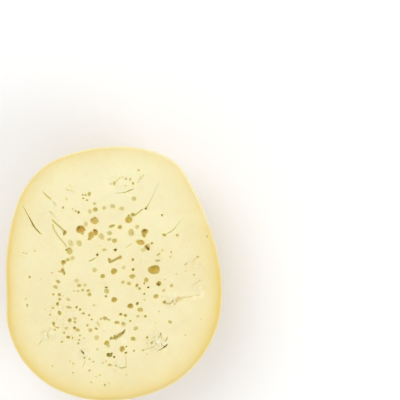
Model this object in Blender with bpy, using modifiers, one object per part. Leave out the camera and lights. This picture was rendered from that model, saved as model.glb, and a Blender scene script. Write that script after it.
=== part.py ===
"""Half of an oval caciocavallo cheese, cut lengthwise.

The half lies on its rounded back, on a small flat spot, with the cut face up. The face is full of
eyes, the round holes that gas leaves in the paste, and of thin fissures. +X and +Y run across and
along the cut face, +Z is up, and the origin is under the middle of the face, at the flat spot.
"""

import math
import random

import bmesh
import bpy
from mathutils import Vector
from mathutils.geometry import area_tri

MM = 0.001

# ---- Driving dimensions, in millimetres -----------------------------------------------------------

FACE_HEIGHT = 68.0  # from the flat spot up to the cut face
ROUND_DEPTH = 69.2  # how deep the round back would be without its flat spot
EDGE_ROUNDING = 1.0  # of the edge between the cut face and the rind

# The cut face's outline, clockwise from its top end.
OUTLINE = [
    (-2.7, 88.4), (21.2, 86.8), (43.2, 77.2), (56.3, 57.1), (65.8, 35.0), (72.5, 11.9), (75.2, -12.1),
    (72.3, -35.9), (61.8, -57.5), (44.9, -74.5), (23.1, -84.6), (-0.7, -88.5), (-24.6, -86.3),
    (-46.6, -76.9), (-63.8, -60.1), (-73.6, -38.2), (-74.8, -14.2), (-75.0, 9.9), (-71.7, 33.8),
    (-63.9, 56.6), (-48.4, 74.8), (-26.5, 84.5),
]

# Single eyes: x and y of the middle, width, height, turn in degrees, depth.
UPPER_LEFT_EYES = [
    (-23.3, 30.7, 5.9, 5.8, 0, 3.8), (-20.3, 30.3, 1.5, 1.5, 0, 2.0), (-21.9, 28.0, 2.8, 2.1, 0, 1.8),
    (-15.8, 26.7, 4.4, 5.3, 0, 3.0), (-16.9, 24.2, 2.8, 2.2, 0, 2.2), (-12.8, 28.6, 3.6, 4.5, 8, 3.0),
    (-13.5, 36.8, 5.8, 5.3, 15, 2.4), (-8.7, 25.7, 3.8, 4.9, 15, 1.5), (-19.6, 34.2, 3.3, 4.0, 20, 1.2),
    (-34.2, 28.3, 2.6, 3.8, -15, 2.2), (-30.1, 20.9, 3.9, 5.7, 28, 1.2), (-24.2, 21.0, 3.9, 4.9, 30, 1.5),
    (-30.9, 15.7, 4.3, 5.3, 28, 2.0), (-35.3, 45.8, 1.6, 1.9, 0, 1.5), (-13.5, 48.5, 2.8, 2.1, 0, 1.1),
    (-16.7, 43.1, 3.2, 3.5, 0, 1.2), (-12.9, 44.5, 3.5, 3.2, 0, 2.0), (-6.8, 45.5, 3.1, 2.8, 0, 1.2),
    (-24.6, 42.5, 2.1, 1.9, 0, 2.4), (-17.1, 55.2, 2.5, 3.1, 0, 1.6),
]
UPPER_RIGHT_EYES = [
    (10.3, 37.4, 5.3, 5.1, 0, 3.0), (10.2, 40.2, 1.7, 1.8, 0, 2.4), (13.2, 40.9, 3.3, 2.8, 0, 2.4),
    (21.4, 29.1, 4.6, 4.4, 0, 3.6), (20.9, 27.1, 3.2, 4.2, 0, 3.1), (18.4, 21.7, 6.0, 3.9, -5, 2.6),
    (23.1, 18.4, 4.7, 4.7, 0, 1.9), (20.3, 16.4, 3.5, 3.1, 0, 1.1), (26.4, 21.0, 2.1, 1.8, 0, 1.9),
    (-0.9, 46.8, 3.9, 3.2, -20, 1.4), (5.4, 45.1, 4.0, 2.9, -10, 1.2), (13.9, 52.0, 3.5, 3.5, 0, 1.5),
    (12.0, 28.5, 4.2, 5.6, 0, 1.6), (16.2, 32.4, 3.5, 2.8, 30, 1.2), (33.5, 40.5, 1.7, 1.7, 0, 1.7),
    (35.1, 26.8, 3.1, 2.1, -25, 1.8), (44.1, 26.6, 2.4, 2.2, 0, 1.4), (22.2, 45.2, 2.1, 1.7, 30, 2.2),
    (13.4, 62.6, 1.8, 2.1, 20, 1.6), (0.3, 62.7, 2.6, 3.2, -20, 1.3),
]
MIDDLE_EYES = [
    (27.9, 2.6, 8.7, 6.4, -4, 4.0), (0.0, 1.5, 4.4, 4.4, 0, 3.0), (12.8, -2.0, 4.2, 3.4, 0, 2.0),
    (-7.8, -1.9, 3.6, 2.9, 20, 2.1), (-1.4, 32.9, 4.6, 2.3, 18, 1.9), (4.2, 32.2, 3.1, 3.1, 0, 2.2),
    (-3.1, 28.0, 3.6, 3.2, 0, 1.5), (-3.2, 23.7, 3.3, 2.1, 0, 1.3), (0.4, 22.8, 3.6, 3.3, 0, 1.9),
    (1.0, 16.4, 2.5, 2.1, 20, 2.6), (-11.5, 13.0, 2.0, 1.9, 0, 2.4), (13.2, 9.6, 1.9, 2.1, 0, 2.2),
    (13.4, 2.7, 2.2, 2.1, 0, 2.4), (-13.5, 2.3, 3.8, 3.2, 0, 1.3), (-2.9, 9.1, 2.5, 3.6, 20, 2.4),
    (4.3, 11.2, 2.8, 2.9, 0, 1.9), (-6.8, 16.4, 3.2, 2.4, 0, 1.2), (6.7, 4.1, 2.9, 2.8, 0, 1.0),
    (-5.1, -12.3, 3.6, 3.8, 0, 1.7), (-5.3, -9.7, 2.4, 1.5, 0, 2.2), (-5.5, -15.9, 1.9, 1.8, 0, 1.9),
    (6.3, -6.1, 2.9, 2.5, 0, 1.3), (10.5, -7.0, 3.2, 2.4, -35, 1.5), (16.0, -8.3, 2.2, 2.8, -10, 1.9),
    (17.8, -10.5, 2.3, 2.2, 0, 1.6),
]
LEFT_EYES = [
    (-35.1, 7.7, 3.5, 3.5, 0, 2.5), (-35.7, 2.0, 2.6, 3.6, 0, 2.4), (-34.5, 0.2, 1.9, 2.5, 15, 2.2),
    (-32.1, 9.5, 2.8, 2.5, 40, 1.6), (-28.9, 10.6, 3.8, 3.3, 0, 1.2), (-37.9, 1.3, 2.1, 1.8, 0, 1.1),
    (-38.8, -5.7, 3.5, 2.4, -20, 1.8), (-40.6, -9.4, 3.5, 2.6, -25, 1.5), (-26.1, -5.1, 3.8, 3.1, -10, 1.1),
    (-24.2, -8.4, 3.2, 2.4, -10, 1.6), (-20.1, -8.1, 2.6, 2.5, 0, 1.1), (-58.6, -2.5, 1.8, 1.8, 0, 1.5),
    (-60.2, -22.3, 1.5, 2.6, 10, 1.2),
]
RIGHT_EYES = [
    (31.2, -7.1, 3.6, 3.8, 0, 2.6), (22.5, -4.5, 3.2, 3.6, -25, 1.9), (21.2, -6.8, 1.7, 1.7, 0, 1.5),
    (29.2, -15.9, 3.8, 3.1, 0, 2.0), (23.9, -9.6, 1.9, 1.2, 0, 2.4), (40.1, -8.4, 2.6, 2.5, 0, 1.3),
    (34.6, -11.9, 2.2, 2.2, 0, 1.1), (39.0, -33.7, 3.3, 2.0, -35, 1.4), (35.1, -20.0, 2.5, 2.4, 0, 2.0),
    (30.4, 8.9, 3.9, 1.9, 0, 1.3), (31.0, 13.2, 3.3, 1.5, 30, 1.2),
]
LOWER_EYES = [
    (0.2, -18.3, 4.1, 3.8, 0, 2.9), (11.4, -22.6, 4.1, 3.7, 0, 3.2), (18.2, -25.2, 4.3, 3.2, -10, 1.9),
    (16.3, -21.0, 2.1, 2.5, -10, 2.2), (4.8, -28.4, 2.3, 2.2, 0, 2.2), (8.0, -29.2, 2.8, 2.0, -25, 2.2),
    (21.9, -29.8, 2.2, 2.0, 15, 1.7), (16.7, -29.7, 2.5, 1.9, 20, 1.1), (15.2, -38.2, 3.3, 3.1, 0, 1.5),
    (13.4, -45.4, 3.5, 3.3, 0, 2.0), (5.7, -52.5, 3.8, 4.2, 0, 2.7), (-3.3, -56.7, 3.9, 3.1, 0, 3.0),
    (-1.5, -55.7, 1.5, 1.5, 0, 2.6), (-5.0, -48.5, 3.6, 3.9, 0, 2.5), (-3.8, -50.6, 2.5, 2.4, 0, 1.1),
    (0.2, -58.1, 1.7, 1.6, 0, 2.0), (8.3, -55.2, 2.0, 1.7, 20, 2.0), (23.1, -44.5, 1.8, 1.9, 0, 1.8),
    (-6.1, -31.2, 3.5, 2.5, -20, 2.1), (-8.9, -31.5, 2.5, 1.9, 10, 1.1), (-3.7, -32.2, 2.4, 1.5, -30, 1.2),
    (2.1, -34.1, 4.3, 2.3, 0, 1.9), (6.6, -35.1, 3.6, 3.1, -20, 1.5), (-12.1, -44.7, 3.6, 4.2, 20, 1.3),
]
LOWER_LEFT_EYES = [
    (-30.7, -32.6, 2.9, 2.9, 0, 2.2), (-27.1, -31.3, 2.9, 1.9, -15, 1.1),
    (-27.1, -33.8, 2.1, 1.8, -30, 1.5), (-27.4, -37.9, 2.4, 2.3, 0, 2.3),
    (-25.3, -39.3, 3.5, 2.5, -30, 1.7), (-37.8, -27.5, 2.8, 3.5, 25, 2.1),
    (-41.9, -35.1, 2.1, 3.3, 25, 2.2), (-31.8, -44.3, 2.9, 2.2, -5, 2.0),
    (-31.4, -23.5, 4.3, 1.8, -12, 1.6), (-31.7, -18.1, 3.2, 2.2, -25, 1.2),
    (-16.3, -39.5, 3.0, 2.8, 0, 1.5), (-12.3, -38.4, 2.8, 1.8, -25, 1.6),
    (-37.9, -14.8, 2.8, 2.3, -40, 1.8), (-33.2, -38.1, 2.9, 2.2, 0, 1.1), (-2.9, -63.6, 3.2, 1.7, -5, 1.4),
    (-39.2, -21.2, 2.2, 2.8, 15, 2.2),
]
SINGLE_EYES = (
    UPPER_LEFT_EYES + UPPER_RIGHT_EYES + MIDDLE_EYES + LEFT_EYES + RIGHT_EYES + LOWER_EYES + LOWER_LEFT_EYES
)

# Groups of small eyes: their places, the first and last one's width, and the depth as a share of it.
EYE_GROUPS = [
    ([(-21.6, 54.7), (-19.6, 54.5), (-21.3, 52.2), (-18.7, 51.0)], 1.6, 1.9, 0.7),
    ([(-28.7, 44.8), (-26.7, 43.4)], 1.2, 1.5, 0.9),
    ([(8.4, 65.8), (11.4, 65.5), (17.3, 71.7)], 1.8, 1.7, 0.65),
    ([(-2.3, 62.4), (2.3, 64.7), (4.0, 66.3), (6.0, 66.8)], 1.8, 1.4, 0.45),
    ([(-25.9, -23.5), (-23.5, -25.1), (-21.1, -27.8), (-17.2, -29.0), (-15.4, -32.0)], 2.2, 1.8, 0.8),
    ([(-21.7, -11.6), (-17.9, -11.9), (-17.0, -14.6)], 2.4, 3.1, 0.55),
    ([(-37.7, -18.0), (-42.0, -14.6), (-42.4, -24.0), (-44.3, -28.6)], 2.3, 1.7, 0.6),
    ([(-41.0, -39.1), (-34.6, -41.2), (-36.1, -47.5)], 1.6, 1.9, 0.7),
    ([(-23.6, -43.1), (-24.2, -46.2), (-24.7, -48.6), (-20.5, -58.6)], 1.5, 1.7, 0.8),
    ([(-18.4, -36.1), (-28.7, -44.9)], 1.7, 1.4, 0.9),
    ([(-16.9, -59.6), (-14.3, -61.3), (-17.0, -67.4), (-6.2, -77.5)], 1.6, 1.9, 0.6),
    ([(-28.3, -62.7), (-28.5, -69.0), (-15.8, -75.7), (-9.6, -70.6)], 1.7, 1.7, 0.5),
    ([(1.4, -64.1), (14.0, -53.8), (20.2, -53.4)], 1.8, 1.8, 0.7),
    ([(21.2, -14.2), (11.4, -33.0), (8.7, -50.8)], 1.7, 1.4, 1.1),
    ([(21.4, -18.2), (31.4, -26.4), (49.7, -42.9)], 1.7, 1.7, 0.45),
    ([(36.9, -20.9), (38.7, -21.1), (40.1, -20.1), (42.3, -21.2), (41.0, -18.9)], 1.7, 1.5, 0.7),
    ([(39.9, 14.9), (64.9, 25.8), (55.8, -0.9)], 1.8, 1.7, 0.55),
    ([(26.2, -48.5), (58.3, 11.7), (49.8, 6.3)], 2.1, 1.7, 0.6),
    ([(-54.9, 15.6), (-60.9, 13.9), (-62.8, 14.4)], 1.6, 1.5, 0.5),
    ([(-61.2, -17.8), (-43.0, 0.5), (-13.7, -22.1)], 1.6, 1.9, 0.45),
]
EYE_SEED = 7

# Fissures: the route's points, the widths along it, and the depth.
FISSURES = [
    (
        [(-62.7, 46.3), (-60.4, 41.6), (-57.9, 37.2), (-55.7, 33.0), (-52.9, 29.5), (-50.1, 27.0)],
        (0.4, 0.5, 0.9, 1.4, 1.0, 0.3),
        2.4,
    ),
    ([(-49.3, 56.9), (-47.3, 54.7), (-45.4, 52.9), (-43.8, 51.5)], (0.5, 0.9, 1.3, 1.1), 1.5),
    ([(-42.8, 37.2), (-40.1, 34.5), (-37.4, 32.1), (-34.3, 29.2)], (1.1, 1.5, 1.4, 1.5), 1.7),
    (
        [(-42.6, 34.8), (-42.0, 31.6), (-40.1, 27.8), (-37.4, 24.1), (-34.6, 21.0), (-32.8, 18.1)],
        (1.0, 1.8, 1.8, 1.7, 1.6, 2.0),
        1.1,
    ),
    ([(4.9, 56.0), (8.2, 56.6), (10.9, 57.8), (13.9, 58.8)], (0.2, 0.5, 0.8, 0.2), 1.6),
    ([(13.8, 40.1), (16.5, 41.9), (18.6, 43.7), (20.3, 45.0)], (1.8, 1.5, 1.3, 0.8), 1.3),
    (
        [(22.0, 44.9), (23.9, 47.9), (25.5, 50.7), (27.4, 54.5), (29.4, 59.0), (30.5, 62.2)],
        (1.2, 0.6, 0.4, 0.3, 0.3, 0.2),
        1.1,
    ),
    (
        [(36.6, 27.6), (38.9, 28.7), (40.7, 29.9), (42.6, 31.9), (45.1, 34.9), (46.7, 36.8)],
        (0.7, 1.1, 0.7, 0.5, 0.3, 0.2),
        1.1,
    ),
    ([(-2.5, 7.8), (0.9, 9.6), (4.2, 11.3)], (1.8, 2.0, 1.8), 2.3),
    ([(21.9, 18.9), (23.2, 17.7), (24.6, 16.3)], (0.9, 1.7, 1.9), 4.4),
    (
        [(43.0, -17.9), (44.8, -17.9), (46.7, -17.3), (49.5, -16.5), (53.0, -16.3), (56.6, -15.1)],
        (5.2, 4.4, 2.7, 2.0, 1.6, 1.1),
        1.1,
    ),
    (
        [(-3.0, -46.6), (-1.8, -45.0), (-0.5, -45.2), (0.9, -44.6), (2.2, -44.3), (3.6, -43.1), (5.0, -42.1)]
        + [(6.4, -41.2), (7.4, -39.4), (7.8, -38.5)],
        (1.2, 2.2, 1.4, 3.4, 2.5, 2.7, 2.5, 1.9, 1.3, 0.8),
        2.8,
    ),
    ([(31.2, -53.3), (33.2, -52.4), (35.4, -51.0), (37.4, -49.1)], (0.4, 0.4, 1.0, 0.5), 3.4),
    ([(-22.9, -53.4), (-21.7, -54.9), (-20.5, -56.2)], (0.2, 1.3, 0.4), 3.4),
    ([(34.2, -20.5), (37.0, -21.0), (39.8, -20.5), (41.3, -19.1)], (0.8, 1.0, 1.2, 1.1), 1.1),
    ([(-4.8, -30.5), (-6.4, -31.2), (-9.3, -31.5)], (0.9, 1.3, 0.8), 0.9),
]
FISSURE_STEP = 1.6  # between the points of a fissure's centreline
FISSURE_TIP = 0.4  # a fissure's width at its very ends, as a share

# ---- Fineness ---------------------------------------------------------------------------------------

BODY_SEGMENTS = 84
BODY_RINGS = 28
SMALL_EYE, MIDDLE_EYE = 2.5, 3.9  # an eye under these widths has few or some facets, and others have more
EYE_FACETS = {"small": (6, 4), "middle": (9, 4), "large": (14, 6)}  # segments and rings
SMOOTH_BELOW = 35.0  # degrees between faces
CUP_RISE = 0.8  # how far a cutter's straight wall rises, as a share of its depth


# ---- Outline ----------------------------------------------------------------------------------------


def smooth(points, place, closed=False):
    """The point at place, counted in spans from the first point, on a smooth curve through points."""
    last = len(points) if closed else len(points) - 1
    span = min(int(place), last - 1)
    t = place - span

    def near(step):
        i = span + step
        return Vector(points[i % len(points)] if closed else points[max(0, min(last, i))])

    before, start, end, after = near(-1), near(0), near(1), near(2)
    return 0.5 * (
        2 * start
        + (end - before) * t
        + (2 * before - 5 * start + 4 * end - after) * t**2
        + (3 * start - before - 3 * end + after) * t**3
    )


def outline_point(angle):
    """The outline's point for an angle about +Z, where a quarter turn is the face's top end."""
    turn = (0.25 - angle / math.tau) % 1.0
    return smooth(OUTLINE, turn * len(OUTLINE), closed=True)


def outline_centroid(steps=360):
    """The middle of the outline's area, over which the half balances."""
    rim = [outline_point(math.tau * i / steps) for i in range(steps)]
    total, moment = 0.0, Vector((0.0, 0.0))
    for a, b in zip(rim, rim[1:] + rim[:1]):
        area = area_tri(Vector((0, 0)), a, b)
        total += area
        moment += (a + b) / 3 * area
    return moment / total


# ---- Scene helpers ----------------------------------------------------------------------------------


def clear_scene():
    for thing in list(bpy.data.objects):
        bpy.data.objects.remove(thing, do_unlink=True)


def new_collection(name):
    collection = bpy.data.collections.new(name)
    bpy.context.scene.collection.children.link(collection)
    return collection


def new_material(name, colour, roughness):
    material = bpy.data.materials.new(name)
    material.use_nodes = True
    shader = material.node_tree.nodes["Principled BSDF"]
    shader.inputs["Base Color"].default_value = (*colour, 1.0)
    shader.inputs["Roughness"].default_value = roughness
    shader.inputs["Metallic"].default_value = 0.0
    return material


def mesh_from(bm, name, materials):
    mesh = bpy.data.meshes.new(name)
    bm.to_mesh(mesh)
    bm.free()
    for material in materials:
        mesh.materials.append(material)
    mesh.shade_smooth()
    mesh.set_sharp_from_angle(angle=math.radians(SMOOTH_BELOW))
    return mesh


def open_edges(bm):
    return [edge for edge in bm.edges if edge.is_boundary]


# ---- Body -------------------------------------------------------------------------------------------


def half_body(paste, rind):
    """A sphere's lower half, drawn out to the outline, with its back flattened where it rests."""
    bm = bmesh.new()
    bmesh.ops.create_uvsphere(bm, u_segments=BODY_SEGMENTS, v_segments=BODY_RINGS, radius=1.0)
    upper = [vertex for vertex in bm.verts if vertex.co.z > 1e-4]
    bmesh.ops.delete(bm, geom=upper, context="VERTS")
    pole = outline_centroid()
    for vertex in bm.verts:
        share = min(1.0, math.hypot(vertex.co.x, vertex.co.y))
        rim = outline_point(math.atan2(vertex.co.y, vertex.co.x))
        place = pole.lerp(rim, share)
        vertex.co = Vector((place.x, place.y, FACE_HEIGHT + ROUND_DEPTH * vertex.co.z)) * MM
    cut = bmesh.ops.bisect_plane(
        bm,
        geom=bm.verts[:] + bm.edges[:] + bm.faces[:],
        plane_co=(0, 0, 0),
        plane_no=(0, 0, 1),
        clear_inner=True,
    )
    flat_rim = [item for item in cut["geom_cut"] if isinstance(item, bmesh.types.BMEdge)]
    bmesh.ops.contextual_create(bm, geom=flat_rim)
    for face in bm.faces:
        face.material_index = 1
    top = bmesh.ops.contextual_create(bm, geom=open_edges(bm))["faces"]
    for face in top:
        face.material_index = 0
    bmesh.ops.recalc_face_normals(bm, faces=bm.faces[:])
    return mesh_from(bm, "caciocavallo", [paste, rind])


# ---- Eyes -------------------------------------------------------------------------------------------


def eye_cup(size, paste):
    """A cup of radius and depth 1 with its rim at z = 0, and a straight wall above the rim."""
    segments, rings = EYE_FACETS[size]
    bm = bmesh.new()
    bmesh.ops.create_uvsphere(bm, u_segments=segments, v_segments=rings, radius=1.0)
    upper = [vertex for vertex in bm.verts if vertex.co.z > 1e-4]
    bmesh.ops.delete(bm, geom=upper, context="VERTS")
    raised = bmesh.ops.extrude_edge_only(bm, edges=open_edges(bm))["geom"]
    for item in raised:
        if isinstance(item, bmesh.types.BMVert):
            item.co.z += CUP_RISE
    bmesh.ops.contextual_create(bm, geom=open_edges(bm))
    bmesh.ops.recalc_face_normals(bm, faces=bm.faces[:])
    return mesh_from(bm, f"eye_cup_{size}", [paste])


def group_eyes():
    """The small eyes of every group, from its first one's width to its last one's."""
    chance = random.Random(EYE_SEED)
    eyes = []
    for places, first, last, share in EYE_GROUPS:
        for i, (x, y) in enumerate(places):
            width = first + (last - first) * i / (len(places) - 1)
            height = width * chance.uniform(0.75, 1.0)
            eyes.append((x, y, width, height, chance.uniform(-40, 40), share * width))
    return eyes


def size_name(width):
    if width < SMALL_EYE:
        return "small"
    return "middle" if width < MIDDLE_EYE else "large"


def add_eye_cutters(cutters, paste):
    cups = {size: eye_cup(size, paste) for size in EYE_FACETS}
    for i, (x, y, width, height, turn, depth) in enumerate(SINGLE_EYES + group_eyes()):
        cutter = bpy.data.objects.new(f"eye_{i:03d}", cups[size_name(max(width, height))])
        cutter.location = Vector((x, y, FACE_HEIGHT)) * MM
        cutter.rotation_euler.z = math.radians(turn)
        cutter.scale = Vector((width / 2, height / 2, depth)) * MM
        cutters.objects.link(cutter)


# ---- Fissures ---------------------------------------------------------------------------------------


def width_along(widths, along):
    """The width at along, from 0 to 1, where widths are spread evenly."""
    place = along * (len(widths) - 1)
    span = min(int(place), len(widths) - 2)
    return widths[span] + (widths[span + 1] - widths[span]) * (place - span)


def fissure_curve(name, route, widths):
    """A tube along the fissure, as thick as its widths there, and squeezed to points at its ends."""
    length = sum((Vector(b) - Vector(a)).length for a, b in zip(route, route[1:]))
    count = max(4, round(length / FISSURE_STEP) + 1)
    curve = bpy.data.curves.new(name, "CURVE")
    curve.dimensions = "3D"
    curve.bevel_depth = 0.5 * MM
    curve.bevel_resolution = 1
    curve.use_fill_caps = True
    spline = curve.splines.new("POLY")
    spline.points.add(count - 1)
    for i, point in enumerate(spline.points):
        along = i / (count - 1)
        x, y = smooth(route, along * (len(route) - 1))
        point.co = (x * MM, y * MM, 0.0, 1.0)
        squeeze = FISSURE_TIP if i in (0, count - 1) else 1.0
        point.radius = width_along(widths, along) * squeeze
    return bpy.data.objects.new(name, curve)


def add_fissure_cutters(cutters, paste):
    for i, (route, widths, depth) in enumerate(FISSURES):
        tube = fissure_curve(f"fissure_curve_{i:02d}", route, widths)
        cutters.objects.link(tube)
        bpy.context.view_layer.update()
        graph = bpy.context.evaluated_depsgraph_get()
        mesh = bpy.data.meshes.new_from_object(tube.evaluated_get(graph))
        bm = bmesh.new()
        bm.from_mesh(mesh)
        bmesh.ops.remove_doubles(bm, verts=bm.verts[:], dist=1e-6)
        bmesh.ops.recalc_face_normals(bm, faces=bm.faces[:])
        bm.to_mesh(mesh)
        bm.free()
        mesh.materials.clear()
        mesh.materials.append(paste)
        cutter = bpy.data.objects.new(f"fissure_{i:02d}", mesh)
        cutter.location.z = FACE_HEIGHT * MM
        cutter.scale.z = depth / (max(widths) / 2)
        cutters.objects.link(cutter)
        bpy.data.objects.remove(tube)


# ---- The half ---------------------------------------------------------------------------------------


def main():
    clear_scene()
    paste = new_material("paste", (0.90, 0.80, 0.46), 0.45)
    rind = new_material("rind", (0.55, 0.37, 0.13), 0.55)
    part = new_collection("caciocavallo_half")
    cutters = new_collection("cutters")

    cheese = bpy.data.objects.new("caciocavallo", half_body(paste, rind))
    part.objects.link(cheese)

    add_eye_cutters(cutters, paste)
    add_fissure_cutters(cutters, paste)
    for cutter in cutters.objects:
        cutter.hide_render = True
        cutter.display_type = "WIRE"

    rounding = cheese.modifiers.new("rounded cut edge", "BEVEL")
    rounding.width = EDGE_ROUNDING * MM
    rounding.segments = 2
    rounding.limit_method = "ANGLE"
    rounding.angle_limit = math.radians(60)

    holes = cheese.modifiers.new("eyes and fissures", "BOOLEAN")
    holes.operation = "DIFFERENCE"
    holes.operand_type = "COLLECTION"
    holes.collection = cutters
    holes.solver = "EXACT"


main()
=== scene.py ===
"""The look of half an oval caciocavallo cheese, cut lengthwise and lying with its cut face up."""

import math
import random

import bmesh
import bpy
import numpy as np
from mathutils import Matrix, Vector, noise
from mathutils.geometry import delaunay_2d_cdt


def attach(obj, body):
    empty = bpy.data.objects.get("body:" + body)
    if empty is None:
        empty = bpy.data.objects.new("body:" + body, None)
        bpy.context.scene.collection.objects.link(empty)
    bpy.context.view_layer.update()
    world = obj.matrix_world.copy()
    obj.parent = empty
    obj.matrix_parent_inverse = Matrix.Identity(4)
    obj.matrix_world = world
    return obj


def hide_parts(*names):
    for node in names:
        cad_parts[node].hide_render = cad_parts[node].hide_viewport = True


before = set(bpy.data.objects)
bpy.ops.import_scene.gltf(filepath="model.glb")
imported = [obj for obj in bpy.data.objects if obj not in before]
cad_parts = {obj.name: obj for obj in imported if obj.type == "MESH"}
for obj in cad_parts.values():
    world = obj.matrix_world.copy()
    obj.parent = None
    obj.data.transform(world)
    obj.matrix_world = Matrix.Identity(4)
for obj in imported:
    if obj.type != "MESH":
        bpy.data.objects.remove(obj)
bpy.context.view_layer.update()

MM = 0.001

# ---- Real sizes, in millimetres -------------------------------------------------------------------

FACE_HEIGHT = 68.0  # from the flat spot up to the cut face
ROUND_DEPTH = 69.2  # how deep the round back would be without its flat spot
EDGE_ROUNDING = 1.0  # of the edge between the cut face and the rind
HALF_SIZE = (75.0, 88.0)  # about half the cut face's width and length

# The cut face's outline, clockwise from its top end.
OUTLINE = [
    (-2.7, 88.4), (21.2, 86.8), (43.2, 77.2), (56.3, 57.1), (65.8, 35.0), (72.5, 11.9), (75.2, -12.1),
    (72.3, -35.9), (61.8, -57.5), (44.9, -74.5), (23.1, -84.6), (-0.7, -88.5), (-24.6, -86.3),
    (-46.6, -76.9), (-63.8, -60.1), (-73.6, -38.2), (-74.8, -14.2), (-75.0, 9.9), (-71.7, 33.8),
    (-63.9, 56.6), (-48.4, 74.8), (-26.5, 84.5),
]

# Single eyes: x and y of the middle, width, height, turn in degrees, depth.
UPPER_LEFT_EYES = [
    (-23.3, 30.7, 5.9, 5.8, 0, 3.8), (-20.3, 30.3, 1.5, 1.5, 0, 2.0), (-21.9, 28.0, 2.8, 2.1, 0, 1.8),
    (-15.8, 26.7, 4.4, 5.3, 0, 3.0), (-16.9, 24.2, 2.8, 2.2, 0, 2.2), (-12.8, 28.6, 3.6, 4.5, 8, 3.0),
    (-13.5, 36.8, 5.8, 5.3, 15, 2.4), (-8.7, 25.7, 3.8, 4.9, 15, 1.5), (-19.6, 34.2, 3.3, 4.0, 20, 1.2),
    (-34.2, 28.3, 2.6, 3.8, -15, 2.2), (-30.1, 20.9, 3.9, 5.7, 28, 1.2), (-24.2, 21.0, 3.9, 4.9, 30, 1.5),
    (-30.9, 15.7, 4.3, 5.3, 28, 2.0), (-35.3, 45.8, 1.6, 1.9, 0, 1.5), (-13.5, 48.5, 2.8, 2.1, 0, 1.1),
    (-16.7, 43.1, 3.2, 3.5, 0, 1.2), (-12.9, 44.5, 3.5, 3.2, 0, 2.0), (-6.8, 45.5, 3.1, 2.8, 0, 1.2),
    (-24.6, 42.5, 2.1, 1.9, 0, 2.4), (-17.1, 55.2, 2.5, 3.1, 0, 1.6),
]
UPPER_RIGHT_EYES = [
    (10.3, 37.4, 5.3, 5.1, 0, 3.0), (10.2, 40.2, 1.7, 1.8, 0, 2.4), (13.2, 40.9, 3.3, 2.8, 0, 2.4),
    (21.4, 29.1, 4.6, 4.4, 0, 3.6), (20.9, 27.1, 3.2, 4.2, 0, 3.1), (18.4, 21.7, 6.0, 3.9, -5, 2.6),
    (23.1, 18.4, 4.7, 4.7, 0, 1.9), (20.3, 16.4, 3.5, 3.1, 0, 1.1), (26.4, 21.0, 2.1, 1.8, 0, 1.9),
    (-0.9, 46.8, 3.9, 3.2, -20, 1.4), (5.4, 45.1, 4.0, 2.9, -10, 1.2), (13.9, 52.0, 3.5, 3.5, 0, 1.5),
    (12.0, 28.5, 4.2, 5.6, 0, 1.6), (16.2, 32.4, 3.5, 2.8, 30, 1.2), (33.5, 40.5, 1.7, 1.7, 0, 1.7),
    (35.1, 26.8, 3.1, 2.1, -25, 1.8), (44.1, 26.6, 2.4, 2.2, 0, 1.4), (22.2, 45.2, 2.1, 1.7, 30, 2.2),
    (13.4, 62.6, 1.8, 2.1, 20, 1.6), (0.3, 62.7, 2.6, 3.2, -20, 1.3),
]
MIDDLE_EYES = [
    (27.9, 2.6, 8.7, 6.4, -4, 4.0), (0.0, 1.5, 4.4, 4.4, 0, 3.0), (12.8, -2.0, 4.2, 3.4, 0, 2.0),
    (-7.8, -1.9, 3.6, 2.9, 20, 2.1), (-1.4, 32.9, 4.6, 2.3, 18, 1.9), (4.2, 32.2, 3.1, 3.1, 0, 2.2),
    (-3.1, 28.0, 3.6, 3.2, 0, 1.5), (-3.2, 23.7, 3.3, 2.1, 0, 1.3), (0.4, 22.8, 3.6, 3.3, 0, 1.9),
    (1.0, 16.4, 2.5, 2.1, 20, 2.6), (-11.5, 13.0, 2.0, 1.9, 0, 2.4), (13.2, 9.6, 1.9, 2.1, 0, 2.2),
    (13.4, 2.7, 2.2, 2.1, 0, 2.4), (-13.5, 2.3, 3.8, 3.2, 0, 1.3), (-2.9, 9.1, 2.5, 3.6, 20, 2.4),
    (4.3, 11.2, 2.8, 2.9, 0, 1.9), (-6.8, 16.4, 3.2, 2.4, 0, 1.2), (6.7, 4.1, 2.9, 2.8, 0, 1.0),
    (-5.1, -12.3, 3.6, 3.8, 0, 1.7), (-5.3, -9.7, 2.4, 1.5, 0, 2.2), (-5.5, -15.9, 1.9, 1.8, 0, 1.9),
    (6.3, -6.1, 2.9, 2.5, 0, 1.3), (10.5, -7.0, 3.2, 2.4, -35, 1.5), (16.0, -8.3, 2.2, 2.8, -10, 1.9),
    (17.8, -10.5, 2.3, 2.2, 0, 1.6),
]
LEFT_EYES = [
    (-35.1, 7.7, 3.5, 3.5, 0, 2.5), (-35.7, 2.0, 2.6, 3.6, 0, 2.4), (-34.5, 0.2, 1.9, 2.5, 15, 2.2),
    (-32.1, 9.5, 2.8, 2.5, 40, 1.6), (-28.9, 10.6, 3.8, 3.3, 0, 1.2), (-37.9, 1.3, 2.1, 1.8, 0, 1.1),
    (-38.8, -5.7, 3.5, 2.4, -20, 1.8), (-40.6, -9.4, 3.5, 2.6, -25, 1.5), (-26.1, -5.1, 3.8, 3.1, -10, 1.1),
    (-24.2, -8.4, 3.2, 2.4, -10, 1.6), (-20.1, -8.1, 2.6, 2.5, 0, 1.1), (-58.6, -2.5, 1.8, 1.8, 0, 1.5),
    (-60.2, -22.3, 1.5, 2.6, 10, 1.2),
]
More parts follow.
